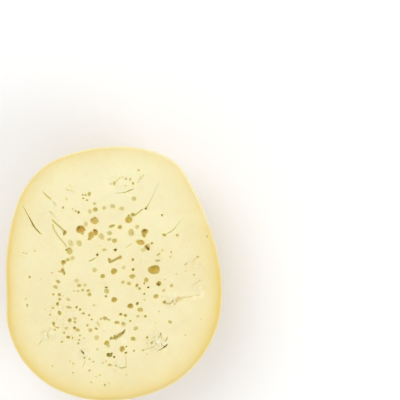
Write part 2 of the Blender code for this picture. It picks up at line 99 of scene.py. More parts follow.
RIGHT_EYES = [
    (31.2, -7.1, 3.6, 3.8, 0, 2.6), (22.5, -4.5, 3.2, 3.6, -25, 1.9), (21.2, -6.8, 1.7, 1.7, 0, 1.5),
    (29.2, -15.9, 3.8, 3.1, 0, 2.0), (23.9, -9.6, 1.9, 1.2, 0, 2.4), (40.1, -8.4, 2.6, 2.5, 0, 1.3),
    (34.6, -11.9, 2.2, 2.2, 0, 1.1), (39.0, -33.7, 3.3, 2.0, -35, 1.4), (35.1, -20.0, 2.5, 2.4, 0, 2.0),
    (30.4, 8.9, 3.9, 1.9, 0, 1.3), (31.0, 13.2, 3.3, 1.5, 30, 1.2),
]
LOWER_EYES = [
    (0.2, -18.3, 4.1, 3.8, 0, 2.9), (11.4, -22.6, 4.1, 3.7, 0, 3.2), (18.2, -25.2, 4.3, 3.2, -10, 1.9),
    (16.3, -21.0, 2.1, 2.5, -10, 2.2), (4.8, -28.4, 2.3, 2.2, 0, 2.2), (8.0, -29.2, 2.8, 2.0, -25, 2.2),
    (21.9, -29.8, 2.2, 2.0, 15, 1.7), (16.7, -29.7, 2.5, 1.9, 20, 1.1), (15.2, -38.2, 3.3, 3.1, 0, 1.5),
    (13.4, -45.4, 3.5, 3.3, 0, 2.0), (5.7, -52.5, 3.8, 4.2, 0, 2.7), (-3.3, -56.7, 3.9, 3.1, 0, 3.0),
    (-1.5, -55.7, 1.5, 1.5, 0, 2.6), (-5.0, -48.5, 3.6, 3.9, 0, 2.5), (-3.8, -50.6, 2.5, 2.4, 0, 1.1),
    (0.2, -58.1, 1.7, 1.6, 0, 2.0), (8.3, -55.2, 2.0, 1.7, 20, 2.0), (23.1, -44.5, 1.8, 1.9, 0, 1.8),
    (-6.1, -31.2, 3.5, 2.5, -20, 2.1), (-8.9, -31.5, 2.5, 1.9, 10, 1.1), (-3.7, -32.2, 2.4, 1.5, -30, 1.2),
    (2.1, -34.1, 4.3, 2.3, 0, 1.9), (6.6, -35.1, 3.6, 3.1, -20, 1.5), (-12.1, -44.7, 3.6, 4.2, 20, 1.3),
]
LOWER_LEFT_EYES = [
    (-30.7, -32.6, 2.9, 2.9, 0, 2.2), (-27.1, -31.3, 2.9, 1.9, -15, 1.1),
    (-27.1, -33.8, 2.1, 1.8, -30, 1.5), (-27.4, -37.9, 2.4, 2.3, 0, 2.3),
    (-25.3, -39.3, 3.5, 2.5, -30, 1.7), (-37.8, -27.5, 2.8, 3.5, 25, 2.1),
    (-41.9, -35.1, 2.1, 3.3, 25, 2.2), (-31.8, -44.3, 2.9, 2.2, -5, 2.0),
    (-31.4, -23.5, 4.3, 1.8, -12, 1.6), (-31.7, -18.1, 3.2, 2.2, -25, 1.2),
    (-16.3, -39.5, 3.0, 2.8, 0, 1.5), (-12.3, -38.4, 2.8, 1.8, -25, 1.6),
    (-37.9, -14.8, 2.8, 2.3, -40, 1.8), (-33.2, -38.1, 2.9, 2.2, 0, 1.1), (-2.9, -63.6, 3.2, 1.7, -5, 1.4),
    (-39.2, -21.2, 2.2, 2.8, 15, 2.2),
]
SINGLE_EYES = (
    UPPER_LEFT_EYES + UPPER_RIGHT_EYES + MIDDLE_EYES + LEFT_EYES + RIGHT_EYES + LOWER_EYES + LOWER_LEFT_EYES
)

# Groups of small eyes: their places, the first and last one's width, and the depth as a share of it.
EYE_GROUPS = [
    ([(-21.6, 54.7), (-19.6, 54.5), (-21.3, 52.2), (-18.7, 51.0)], 1.6, 1.9, 0.7),
    ([(-28.7, 44.8), (-26.7, 43.4)], 1.2, 1.5, 0.9),
    ([(8.4, 65.8), (11.4, 65.5), (17.3, 71.7)], 1.8, 1.7, 0.65),
    ([(-2.3, 62.4), (2.3, 64.7), (4.0, 66.3), (6.0, 66.8)], 1.8, 1.4, 0.45),
    ([(-25.9, -23.5), (-23.5, -25.1), (-21.1, -27.8), (-17.2, -29.0), (-15.4, -32.0)], 2.2, 1.8, 0.8),
    ([(-21.7, -11.6), (-17.9, -11.9), (-17.0, -14.6)], 2.4, 3.1, 0.55),
    ([(-37.7, -18.0), (-42.0, -14.6), (-42.4, -24.0), (-44.3, -28.6)], 2.3, 1.7, 0.6),
    ([(-41.0, -39.1), (-34.6, -41.2), (-36.1, -47.5)], 1.6, 1.9, 0.7),
    ([(-23.6, -43.1), (-24.2, -46.2), (-24.7, -48.6), (-20.5, -58.6)], 1.5, 1.7, 0.8),
    ([(-18.4, -36.1), (-28.7, -44.9)], 1.7, 1.4, 0.9),
    ([(-16.9, -59.6), (-14.3, -61.3), (-17.0, -67.4), (-6.2, -77.5)], 1.6, 1.9, 0.6),
    ([(-28.3, -62.7), (-28.5, -69.0), (-15.8, -75.7), (-9.6, -70.6)], 1.7, 1.7, 0.5),
    ([(1.4, -64.1), (14.0, -53.8), (20.2, -53.4)], 1.8, 1.8, 0.7),
    ([(21.2, -14.2), (11.4, -33.0), (8.7, -50.8)], 1.7, 1.4, 1.1),
    ([(21.4, -18.2), (31.4, -26.4), (49.7, -42.9)], 1.7, 1.7, 0.45),
    ([(36.9, -20.9), (38.7, -21.1), (40.1, -20.1), (42.3, -21.2), (41.0, -18.9)], 1.7, 1.5, 0.7),
    ([(39.9, 14.9), (64.9, 25.8), (55.8, -0.9)], 1.8, 1.7, 0.55),
    ([(26.2, -48.5), (58.3, 11.7), (49.8, 6.3)], 2.1, 1.7, 0.6),
    ([(-54.9, 15.6), (-60.9, 13.9), (-62.8, 14.4)], 1.6, 1.5, 0.5),
    ([(-61.2, -17.8), (-43.0, 0.5), (-13.7, -22.1)], 1.6, 1.9, 0.45),
]
EYE_SEED = 7

# Fissures: the route's points, the widths along it, and the depth.
FISSURES = [
    (
        [(-62.7, 46.3), (-60.4, 41.6), (-57.9, 37.2), (-55.7, 33.0), (-52.9, 29.5), (-50.1, 27.0)],
        (0.4, 0.5, 0.9, 1.4, 1.0, 0.3),
        2.4,
    ),
    ([(-49.3, 56.9), (-47.3, 54.7), (-45.4, 52.9), (-43.8, 51.5)], (0.5, 0.9, 1.3, 1.1), 1.5),
    ([(-42.8, 37.2), (-40.1, 34.5), (-37.4, 32.1), (-34.3, 29.2)], (1.1, 1.5, 1.4, 1.5), 1.7),
    (
        [(-42.6, 34.8), (-42.0, 31.6), (-40.1, 27.8), (-37.4, 24.1), (-34.6, 21.0), (-32.8, 18.1)],
        (1.0, 1.8, 1.8, 1.7, 1.6, 2.0),
        1.1,
    ),
    ([(4.9, 56.0), (8.2, 56.6), (10.9, 57.8), (13.9, 58.8)], (0.2, 0.5, 0.8, 0.2), 1.6),
    ([(13.8, 40.1), (16.5, 41.9), (18.6, 43.7), (20.3, 45.0)], (1.8, 1.5, 1.3, 0.8), 1.3),
    (
        [(22.0, 44.9), (23.9, 47.9), (25.5, 50.7), (27.4, 54.5), (29.4, 59.0), (30.5, 62.2)],
        (1.2, 0.6, 0.4, 0.3, 0.3, 0.2),
        1.1,
    ),
    (
        [(36.6, 27.6), (38.9, 28.7), (40.7, 29.9), (42.6, 31.9), (45.1, 34.9), (46.7, 36.8)],
        (0.7, 1.1, 0.7, 0.5, 0.3, 0.2),
        1.1,
    ),
    ([(-2.5, 7.8), (0.9, 9.6), (4.2, 11.3)], (1.8, 2.0, 1.8), 2.3),
    ([(21.9, 18.9), (23.2, 17.7), (24.6, 16.3)], (0.9, 1.7, 1.9), 4.4),
    (
        [(43.0, -17.9), (44.8, -17.9), (46.7, -17.3), (49.5, -16.5), (53.0, -16.3), (56.6, -15.1)],
        (5.2, 4.4, 2.7, 2.0, 1.6, 1.1),
        1.1,
    ),
    (
        [(-3.0, -46.6), (-1.8, -45.0), (-0.5, -45.2), (0.9, -44.6), (2.2, -44.3), (3.6, -43.1), (5.0, -42.1)]
        + [(6.4, -41.2), (7.4, -39.4), (7.8, -38.5)],
        (1.2, 2.2, 1.4, 3.4, 2.5, 2.7, 2.5, 1.9, 1.3, 0.8),
        2.8,
    ),
    ([(31.2, -53.3), (33.2, -52.4), (35.4, -51.0), (37.4, -49.1)], (0.4, 0.4, 1.0, 0.5), 3.4),
    ([(-22.9, -53.4), (-21.7, -54.9), (-20.5, -56.2)], (0.2, 1.3, 0.4), 3.4),
    ([(34.2, -20.5), (37.0, -21.0), (39.8, -20.5), (41.3, -19.1)], (0.8, 1.0, 1.2, 1.1), 1.1),
    ([(-4.8, -30.5), (-6.4, -31.2), (-9.3, -31.5)], (0.9, 1.3, 0.8), 0.9),
]

# Specks: pinholes in the paste, by x, y and width.
SPECKS = [
    (-25.8, 43.8, 0.9), (-32.8, 58.3, 1.7), (-30.4, 61.3, 1.5), (-32.8, 51.7, 1.8), (7.8, 61.1, 1.7),
    (39.3, 11.7, 2.1), (49.7, 1.7, 1.6), (43.6, -0.4, 1.6), (35.6, -4.2, 1.8), (60.4, -31.7, 1.3),
    (-30.7, -61.0, 1.5), (-42.8, -64.5, 1.7), (-12.3, -71.8, 1.8), (8.7, -70.6, 1.9), (-5.5, -61.1, 1.8),
    (-7.8, -62.2, 1.9), (3.2, -65.2, 1.1), (-35.3, -15.7, 1.4), (-11.5, -52.7, 2.1), (-38.9, -37.8, 1.8),
    (-20.8, -45.2, 1.7), (-9.9, 19.1, 1.4), (23.2, -48.7, 1.5), (23.1, -56.0, 1.5), (-22.6, -27.9, 1.4),
    (33.5, -16.1, 1.5), (35.8, -16.0, 1.3), (1.2, 55.9, 1.0), (32.6, -42.1, 1.1), (33.7, 16.1, 2.1),
    (-24.9, -12.2, 2.2), (-27.6, -12.2, 1.9), (-44.3, -37.9, 1.3), (-3.7, -76.1, 1.5), (-17.0, 6.6, 1.0),
    (47.6, -32.7, 0.9), (18.6, 8.0, 1.3), (50.2, 18.0, 1.0), (-47.8, -25.1, 1.4), (-51.6, 0.7, 0.9),
    (-54.7, -33.7, 1.0), (37.7, -54.6, 1.1), (-51.2, -3.9, 0.9), (48.1, -18.4, 1.0), (28.7, -34.4, 1.3),
    (25.2, -38.6, 1.1), (-6.8, -40.0, 1.3), (-20.7, -52.5, 1.0), (-39.8, -32.0, 1.3),
]

# Dark cores: where a hole runs on into a deeper one, by x, y, width, height, turn and depth.
CORES = [
    (31.0, -7.9, 1.5, 1.5, 10, 5.2), (-33.0, 16.4, 1.8, 1.7, 0, 2.6), (-24.6, 31.6, 2.5, 2.9, 20, 4.6),
    (21.2, 29.8, 2.4, 2.1, 0, 4.4), (-2.9, 7.8, 1.3, 1.1, 0, 3.4), (-1.9, -57.4, 1.3, 1.3, 0, 3.8),
    (-4.3, -56.1, 1.3, 1.3, 0, 3.6), (-35.1, 8.2, 1.5, 1.5, 0, 3.2), (1.0, 16.4, 1.4, 1.1, 20, 3.6),
    (-13.8, 30.1, 1.8, 1.4, 0, 3.8),
]

# Shallow grooves and hairlines: the route's points and the widths along it.
HAIRLINES = [
    ([(-43.5, 50.9), (-41.8, 49.4), (-40.3, 47.4)], (0.5, 2.2, 2.8)),
    ([(-45.7, 43.5), (-43.5, 42.3), (-41.5, 39.7), (-40.3, 38.4)], (0.9, 2.7, 1.4, 0.8)),
    ([(16.4, 63.1), (18.4, 65.9), (21.0, 68.6)], (1.5, 3.2, 2.6)),
    ([(54.7, 8.1), (56.2, 9.9), (58.1, 11.6)], (0.6, 0.9, 1.6)),
    ([(49.0, 5.6), (51.3, 7.8)], (0.9, 1.4, 0.5)),
    ([(55.1, -7.7), (57.6, -6.5), (60.2, -4.7)], (0.5, 1.1, 1.4)),
    ([(-44.2, -37.1), (-45.3, -39.7), (-46.3, -42.2), (-45.4, -44.6)], (1.0, 0.6, 1.7, 2.6)),
    ([(-49.5, -46.0), (-51.0, -47.9), (-52.2, -49.6)], (0.3, 0.2, 0.3)),
    ([(-20.0, -60.8), (-20.7, -62.8), (-21.8, -65.0)], (0.3, 0.6, 0.7)),
    ([(8.2, -56.7), (8.5, -60.6), (8.5, -64.6)], (0.2, 0.3, 0.4)),
    ([(-32.8, 58.1), (-30.4, 57.7), (-27.6, 56.9)], (1.2, 0.5, 0.6)),
    ([(8.0, 17.6), (10.3, 19.4), (12.4, 20.6)], (1.4, 1.2, 0.5)),
    ([(20.3, -53.5), (23.1, -52.5), (26.2, -51.4), (28.7, -49.9)], (1.1, 0.7, 0.8, 0.5)),
    ([(56.6, -15.1), (58.2, -14.9), (59.6, -14.9)], (1.4, 1.1, 0.7)),
    ([(1.5, 56.1), (3.4, 55.9), (5.0, 56.0)], (0.2, 0.2, 0.2)),
    ([(29.6, -42.6), (27.7, -45.8), (29.4, -48.8)], (0.2, 0.3, 0.2)),
    ([(-35.3, 6.2), (-35.6, 3.8)], (1.1, 1.6)),
    ([(49.0, -16.6), (51.5, -16.3), (54.2, -15.8)], (0.6, 1.4, 1.4)),
]

HAIRLINE_DEPTH = 0.7

# Short slits, deeper than the hairlines.
SLITS = [
    ([(-17.1, 8.6), (-15.1, 9.4), (-13, 10.7)], (0.6, 1.1, 0.6)),
    ([(4.1, -65.7), (6.1, -65.7), (8.5, -65)], (0.8, 1.2, 1.0)),
    ([(32.1, -43.9), (32.4, -42.5), (32.8, -41.1)], (0.8, 1.3, 1.0)),
    ([(35.9, -47.2), (36.6, -45.8), (37.4, -44.4)], (0.8, 1.2, 0.6)),
    ([(-11.6, -33.7), (-10.5, -36.1)], (1.0, 1.2)),
    ([(25.5, -49), (26.3, -47.9), (27.3, -47.1)], (1.2, 1.2, 0.6)),
    ([(31.4, -43.7), (31.2, -44.6)], (0.8, 0.6)),
    ([(33.1, -48.8), (33.4, -49.6)], (0.6, 0.6)),
    ([(-41, -37.1), (-39.4, -37.5), (-38.2, -38.1)], (0.7, 1.0, 1.2)),
    ([(-28.9, -44), (-28.6, -45.6)], (0.9, 1.1)),
]
SLIT_DEPTH = 1.3

LIP_HIGHLIGHT_SHIFT = (0.1, -0.1)  # how far the yellow painted highlights on the lips of holes are moved, to the lower right side where they show most
RIM_TONE_AND_SHADE = 0.3  # the depth that sets a hole's golden tone and painted shade at its rim, where it is paler than deep inside
WALL_TONE_AND_SHADE = 2.4  # and how much that depth grows each millimetre in from there

# The paste by the cut edge, by compass direction from +X in degrees: how golden it is, how far inside the
# edge that fades, how strong the pale line at the very edge is (partly the paste's own pale rim, partly a
# painted highlight, strongest at the top), and how strong the painted shade just inside the edge is.
BY_THE_EDGE = [
    (0, 1.0, 5.2, 0.0, 0.0), (30, 0.5, 9.0, 0.15, 0.0), (60, 0.48, 8.0, 1.0, 0.0),
    (90, 0.52, 6.0, 0.6, 0.0), (120, 0.64, 6.5, 0.15, 0.1), (150, 0.82, 6.2, 0.5, 0.12),
    (180, 0.98, 3.8, 0.2, 0.15), (210, 0.92, 6.8, 0.25, 0.15), (240, 0.82, 6.4, 0.15, 0.08),
    (270, 0.9, 6.3, 0.0, 0.32), (300, 0.82, 7.0, 0.2, 0.38), (330, 1.0, 6.8, 0.1, 0.2),
]

# Crumbly places: x, y, radius and strength.
CRUMBLY = [
    (30.0, -47.0, 9.5, 1.0), (39.5, -20.0, 5.5, 0.9), (-20.5, -56.0, 5.0, 0.8), (-45.5, -41.5, 6.5, 0.9),
    (4.0, 64.5, 9.5, 0.5), (57.0, 7.0, 7.5, 0.5), (59.0, -8.5, 6.0, 0.5), (-35.0, -30.0, 15.0, 0.35),
    (-47.0, 42.0, 8.0, 0.4), (3.0, -64.0, 6.0, 0.5), (32.0, 9.0, 5.0, 0.4),
]

# Painted shade inside the holes, in deep narrow cores and on their shaded sides: x, y, radius and strength.
HOLE_SHADE = [
    (35.2, -51.0, 1.3, 0.7), (36.2, -50.2, 1.3, 0.85), (-22.3, -54.2, 1.1, 0.9), (-21.4, -55.3, 1.1, 0.9),
    (23.9, 17.1, 1.4, 0.65), (22.5, 18.7, 1.2, 0.45), (30.9, -7.8, 1.0, 0.6), (-3.4, -57.5, 1.5, 0.3),
    (-4.5, -56.7, 1.3, 0.3), (-1.6, -55.7, 1.4, 0.4), (-3.8, -55.6, 1.2, 0.3), (21.0, 30.5, 2.4, 0.2),
    (-25.6, 30.9, 1.6, 0.3), (-24.4, 32.7, 1.6, 0.35), (-22.4, 33.4, 1.4, 0.3), (-20.8, 32.2, 1.4, 0.35),
    (-20.1, 30.2, 1.2, 0.4), (-12.3, 30.2, 1.8, 0.3), (-15.2, 37.3, 1.6, 0.22), (-13.4, 38.8, 1.6, 0.18),
    (12.8, 28.0, 1.4, 0.2), (-1.6, -44.3, 1.2, 0.25), (0.5, -43.3, 1.2, 0.38), (0.6, -45.3, 1.2, 0.22),
    (2.6, -44.8, 1.2, 0.22), (4.6, -43.4, 1.1, 0.2), (6.1, -41.9, 1.3, 0.45), (7.0, -40.5, 1.2, 0.45),
    (1.0, 16.7, 1.4, 0.2), (-11.6, 13.2, 1.3, 0.25), (8.5, -55.0, 1.4, 0.3), (0.2, -58.1, 1.5, 0.4),
    (-33.2, 16.5, 1.3, 0.15), (-31.3, 17.7, 1.3, 0.3), (-34.7, 28.0, 1.4, 0.3), (-34.2, 29.8, 1.2, 0.3),
    (-55.1, 34.4, 3.0, 0.3), (-52.7, 30.5, 2.6, 0.1), (22.3, 45.1, 1.2, 0.3), (-34.9, 0.6, 1.4, 0.1),
    (24.0, -9.6, 1.2, 0.8), (-5.4, -9.6, 1.4, 0.15), (10.0, -21.7, 1.3, 0.25), (11.9, -20.9, 1.3, 0.2),
    (26.7, 4.6, 2.3, 0.32), (28.3, 5.6, 2.0, 0.25), (30.9, 4.4, 2.0, 0.2), (26.2, 2.6, 4.0, 0.16),
    (16.5, -20.4, 1.3, 0.35), (8.6, -50.8, 1.2, 0.2), (5.9, -34.4, 1.3, 0.25), (49.8, -16.4, 1.2, 0.12),
    (53.2, -15.9, 1.2, 0.2), (-41.1, 48.6, 1.6, 0.25), (-43.6, 42.2, 1.6, 0.3), (18.6, 66.1, 1.5, 0.3),
    (20.6, 68.3, 1.2, 0.25), (-46.0, -41.8, 1.5, 0.3), (-45.4, -44.3, 1.3, 0.3),
]

# Pale flecks on the face, a little raised, partly pale flakes of paste and partly painted highlights where
# raised bits catch the light: x, y, radius and strength.
FLECKS_AND_HIGHLIGHTS = [
    (30.7, -47.1, 1.7, 0.9), (29.6, -43.6, 1.9, 0.6), (36.4, -48.2, 1.4, 0.9), (35.5, -52.7, 1.3, 0.6),
    (32.8, -40.4, 0.9, 0.6), (24.9, -46.2, 1.0, 0.7), (24.8, -44.2, 0.9, 0.5), (33.5, -53.4, 1.1, 0.5),
    (60.9, -15.4, 2.6, 0.5), (61.7, -13.3, 1.8, 0.4), (55.8, -16.8, 2.6, 0.4), (42.7, -14.3, 1.6, 0.5),
    (41.2, -16.8, 1.4, 0.5), (23.0, -53.9, 1.2, 0.3), (-42.4, -40.6, 1.3, 0.5), (-42.2, -43.2, 1.0, 0.4),
    (-47.3, -42.5, 1.1, 0.6), (-47.6, -44.6, 1.1, 0.6),
    (-18.9, -55.4, 1.4, 0.6), (-23.7, -56.4, 1.1, 0.5), (6.8, -46.2, 2.6, 0.35), (9.1, -40.3, 1.0, 0.5),
    (22.5, 19.9, 0.9, 0.6), (24.9, 18.1, 0.9, 0.5),
]
FLECK_HEIGHT = 0.2

# Swells of the cut face: how long, where in the noise, and how high.
SWELLS = [(24, 3.0, 0.14), (7, 9.0, 0.03)]

# Orange places inside the holes: x, y, radius and strength.
WARM = [
    (-22.0, 30.6, 3.0, 0.45), (-13.7, 35.1, 2.6, 0.35), (-12.7, 28.8, 2.6, 0.5), (20.8, 21.9, 2.4, 0.55),
    (22.6, 18.6, 2.0, 0.4), (12.0, 29.5, 2.2, 0.25), (27.3, 0.3, 2.4, 0.2), (-36.0, 3.1, 2.2, 0.15),
    (43.5, -17.5, 4.0, 0.2), (48.5, -17.0, 4.0, 0.2), (53.5, -16.0, 4.0, 0.1), (31.8, -6.8, 2.0, 0.25),
]

# ---- Fineness -------------------------------------------------------------------------------------

RIM_POINTS = 540
EDGE_STEPS = 4  # round the edge between the cut face and the rind
FACE_SPACING = 1.25  # between the points of the plain face
FACE_REACH = (78, 92)  # how far those points go from the middle
BACK_SPACING = 1.6  # between the points of the rounded back
BACK_REACH = (112, 130)
ROW_SPACING = 0.866  # between the rows of a hexagonal grid, as a share of the spacing
EYE_SPACING = 0.3  # along an eye's rim
FISSURE_SPACING = 0.45  # along a fissure
CLOSEST = 0.04  # points nearer than this are one
WELD = 0.003  # and so are points of two borders that are nearer than this
UNROLLED = 1.4  # the back's arc from rim to pole, as a share of its radius


# ---- Outline --------------------------------------------------------------------------------------


def smooth(points, place, closed=False):
    """The point at place, counted in spans from the first point, on a smooth curve through points."""
    last = len(points) if closed else len(points) - 1
    span = min(int(place), last - 1)
    t = place - span

    def near(step):
        i = span + step
        return Vector(points[i % len(points)] if closed else points[max(0, min(last, i))])

    before, start, end, after = near(-1), near(0), near(1), near(2)
    return 0.5 * (
        2 * start
        + (end - before) * t
        + (2 * before - 5 * start + 4 * end - after) * t**2
        + (3 * start - before - 3 * end + after) * t**3
    )


def outline_about_pole(steps=1440):
    """The middle of the outline's area, and the outline's angles and radii about it."""
    rim = np.array([smooth(OUTLINE, len(OUTLINE) * i / steps, closed=True) for i in range(steps)])
    after = np.roll(rim, -1, axis=0)
    cross = rim[:, 0] * after[:, 1] - rim[:, 1] * after[:, 0]
    pole = ((rim + after) * cross[:, None]).sum(axis=0) / (3 * cross.sum())
    out = rim - pole
    return pole, np.arctan2(out[:, 1], out[:, 0]), np.hypot(out[:, 0], out[:, 1])


POLE, OUTLINE_ANGLES, OUTLINE_RADII = outline_about_pole()


def rim_radius(angle):
    return np.interp(angle, OUTLINE_ANGLES, OUTLINE_RADII, period=math.tau)


def polar(points):
    """The angle and the radius of points about the pole."""
    out = points - POLE
    return np.arctan2(out[:, 1], out[:, 0]), np.hypot(out[:, 0], out[:, 1])


def from_polar(angle, radius):
    return POLE + np.column_stack([np.cos(angle), np.sin(angle)]) * np.reshape(radius, (-1, 1))


def ease(value, start, end):
    """0 before start, 1 after end, and a smooth rise between them."""
    t = np.clip((value - start) / (end - start), 0.0, 1.0)
    return t * t * (3 - 2 * t)


# ---- Eyes -----------------------------------------------------------------------------------------


class Eye:
    """A round hole in the face, with a rim that wobbles a little, and a lip that rounds into it."""

    # Where the rings of points lie, as shares of the way to the rim.
    LARGE_RINGS = (1.3, 1.13, 1.05, 1.0, 0.97, 0.9, 0.76, 0.55, 0.3)
    SMALL_RINGS = (1.25, 1.08, 1.0, 0.9, 0.55)

    def __init__(self, x, y, width, height, turn, depth, chance):
        self.middle = np.array([x, y])
        self.half = np.array([width / 2, height / 2])
        self.turn = math.radians(turn)
        self.depth = depth
        self.waves = [(k, chance.uniform(0.02, 0.17) / k, chance.uniform(0, math.tau)) for k in (2, 3, 4)]
        self.reach = max(width, height) * 0.95

    def rim(self, angle):
        return 1 + sum(size * np.sin(k * angle + phase) for k, size, phase in self.waves)

    def share(self, points):
        """How far points are from the middle, where 1 is the rim."""
        out = points - self.middle
        c, s = math.cos(self.turn), math.sin(self.turn)
        u = (out[:, 0] * c + out[:, 1] * s) / self.half[0]
        v = (out[:, 1] * c - out[:, 0] * s) / self.half[1]
        return np.hypot(u, v) / self.rim(np.arctan2(v, u))

    def ring(self, share):
        """Points at this share of the way to the rim."""
        count = int(np.clip(math.tau * self.half.max() * share / EYE_SPACING, 7, 64))
        angle = np.arange(count) * math.tau / count + 7 * share
        u = share * self.rim(angle) * np.cos(angle) * self.half[0]
        v = share * self.rim(angle) * np.sin(angle) * self.half[1]
        c, s = math.cos(self.turn), math.sin(self.turn)
        return self.middle + np.column_stack([u * c - v * s, u * s + v * c])

    def drop(self, share):
        """How far below the face the surface is, at this share of the way to the rim."""
        width = 2 * self.half.min()
        steep = np.clip(self.depth / width / 0.75, 0.0, 1.0)
        lip = min(0.14, 0.05 * width)
        bottom, wall = 2 + 0.8 * steep, 1 - 0.35 * steep
        bowl = lip + (self.depth - lip) * (1 - np.clip(share, 0, 1) ** bottom) ** wall
        rounded = lip * np.clip((1.14 - share) / 0.14, 0.0, 1.0) ** 2
        return np.where(share < 1, bowl, rounded)

    def points(self):
        shares = self.LARGE_RINGS if self.half.min() > 0.9 else self.SMALL_RINGS
        return np.vstack([self.ring(share) for share in shares] + [self.middle[None]])


def make_eyes():
    chance = random.Random(EYE_SEED)
    sizes = list(SINGLE_EYES)
    for places, first, last, share in EYE_GROUPS:
        for i, (x, y) in enumerate(places):
            width = first + (last - first) * i / (len(places) - 1)
            height = width * chance.uniform(0.75, 1.0)
            sizes.append((x, y, width, height, chance.uniform(-40, 40), share * width))
    for x, y, width in SPECKS:
        sizes.append((x, y, width, width * chance.uniform(0.7, 1.0), chance.uniform(-90, 90), 0.4 * width))
    sizes += CORES
    return [Eye(*size, chance) for size in sizes]


# ---- Fissures -------------------------------------------------------------------------------------


class Fissure:
    """A crack or a groove in the face, with ragged sides."""

    ROWS = (0, -0.5, 0.5, -0.9, 0.9, -1.3, 1.3)  # of points along it, in half widths from its line

    def __init__(self, route, widths, depth, chance):
        length = sum((Vector(b) - Vector(a)).length for a, b in zip(route, route[1:]))
        count = max(5, round(length / FISSURE_SPACING) + 1)
        self.along = np.linspace(0, 1, count)
        self.line = np.array([smooth(route, along * (len(route) - 1)) for along in self.along])
        width = np.interp(self.along, np.linspace(0, 1, len(widths)), widths)
        squeeze = np.minimum(1.0, 0.4 + 8 * np.minimum(self.along, 1 - self.along))
        ragged = np.array([chance.uniform(0.82, 1.16) for _ in self.along])
        self.half = width / 2 * squeeze * ragged
        self.depth = depth * squeeze * np.minimum(1.0, width / (0.6 * max(widths)))
        step = np.gradient(self.line, axis=0)
        self.side = np.column_stack([-step[:, 1], step[:, 0]]) / np.linalg.norm(step, axis=1)[:, None]
        self.line = self.line + self.side * np.array([[chance.uniform(-0.08, 0.08)] for _ in self.along])

    def points(self):
        rows = [self.line + self.side * (self.half * k)[:, None] for k in self.ROWS]
        rows += [self.line + self.side * (self.half * k + 0.3 * np.sign(k))[:, None] for k in (-1.3, 1.3)]
        return np.vstack(rows)

    def near(self, points):
        reach = self.half.max() + 1.4
        low, high = self.line.min(axis=0) - reach, self.line.max(axis=0) + reach
        return np.flatnonzero(((points > low) & (points < high)).all(axis=1))

    def across(self, points):
        """Each point's distance from the crack's line, and the half width and depth of the crack there."""
        start, step = self.line[:-1], np.diff(self.line, axis=0)
        out = points[:, None] - start
        t = np.clip((out * step).sum(axis=2) / (step**2).sum(axis=1), 0.0, 1.0)
        distance = np.linalg.norm(out - t[..., None] * step, axis=2)
        best = distance.argmin(axis=1)
        rows = np.arange(len(points))
        place = best + t[rows, best]
        index = np.arange(len(self.line))
        return distance[rows, best], np.interp(place, index, self.half), np.interp(place, index, self.depth)

    def drop(self, points):
        distance, half, depth = self.across(points)
        return depth * np.clip(1 - distance / half, 0.0, 1.0) ** np.clip(0.95 - 0.25 * half, 0.35, 0.8)


def make_fissures():
    chance = random.Random(EYE_SEED)
    grooves = [(route, widths, HAIRLINE_DEPTH) for route, widths in HAIRLINES]
    grooves += [(route, widths, SLIT_DEPTH) for route, widths in SLITS]
    return [Fissure(*fissure, chance) for fissure in FISSURES + grooves]


# ---- Cut face -------------------------------------------------------------------------------------


def hex_grid(half_x, half_y, spacing, chance):
    """Points in a hexagonal grid, each moved a little at random."""
    rows = int(half_y / (spacing * ROW_SPACING)) + 1
    columns = int(half_x / spacing) + 1
    j, i = np.mgrid[-rows : rows + 1, -columns : columns + 1]
    x = (i + 0.5 * (j % 2)) * spacing
    y = j * spacing * ROW_SPACING
    points = np.column_stack([x.ravel(), y.ravel()])
    return points + chance.uniform(-0.16, 0.16, points.shape) * spacing


def thinned(points):
    """Points with those that fall on an earlier one left out."""
    cells = np.round(points / CLOSEST).astype(np.int64)
    _, first = np.unique(cells, axis=0, return_index=True)
    return points[np.sort(first)]


def within(eye, points):
    return np.flatnonzero((np.abs(points - eye.middle) < eye.reach).all(axis=1))


def face_points(eyes, fissures):
    """Where the face's points go: closest round the eyes and along the fissures."""
    insets = (EDGE_ROUNDING, 1.6, 2.3, 3.2, 4.2)
    angle = np.arange(RIM_POINTS) * math.tau / RIM_POINTS
    loops = [from_polar(angle, rim_radius(angle) - inset) for inset in insets]
    fine = []
    for eye in eyes:
        points = eye.points()
        own = eye.drop(eye.share(points))
        keep = np.ones(len(points), bool)
        for other in eyes:
            if other is eye or np.abs(other.middle - eye.middle).max() > other.reach + eye.reach:
                continue
            share = other.share(points)
            keep &= (share > 0.96) | (other.drop(share) < own)
        fine.append(points[keep])
    fine += [fissure.points() for fissure in fissures]
    fine = np.vstack(fine)
    grid = hex_grid(*FACE_REACH, FACE_SPACING, np.random.default_rng(3))
    far = np.ones(len(grid), bool)
    for eye in eyes:
        near = within(eye, grid)
        far[near] &= eye.share(grid[near]) > 1.3 + 0.4 / eye.half.min()
    for fissure in fissures:
        near = fissure.near(grid)
        distance, half, _ = fissure.across(grid[near])
        far[near] &= distance > half + 0.6
    inner = []
    for points, inset in ((fine, 1.3), (grid[far], 5.0)):
        place, radius = polar(points)
        inner.append(points[radius < rim_radius(place) - inset])
    return loops[0], thinned(np.vstack(loops + inner))


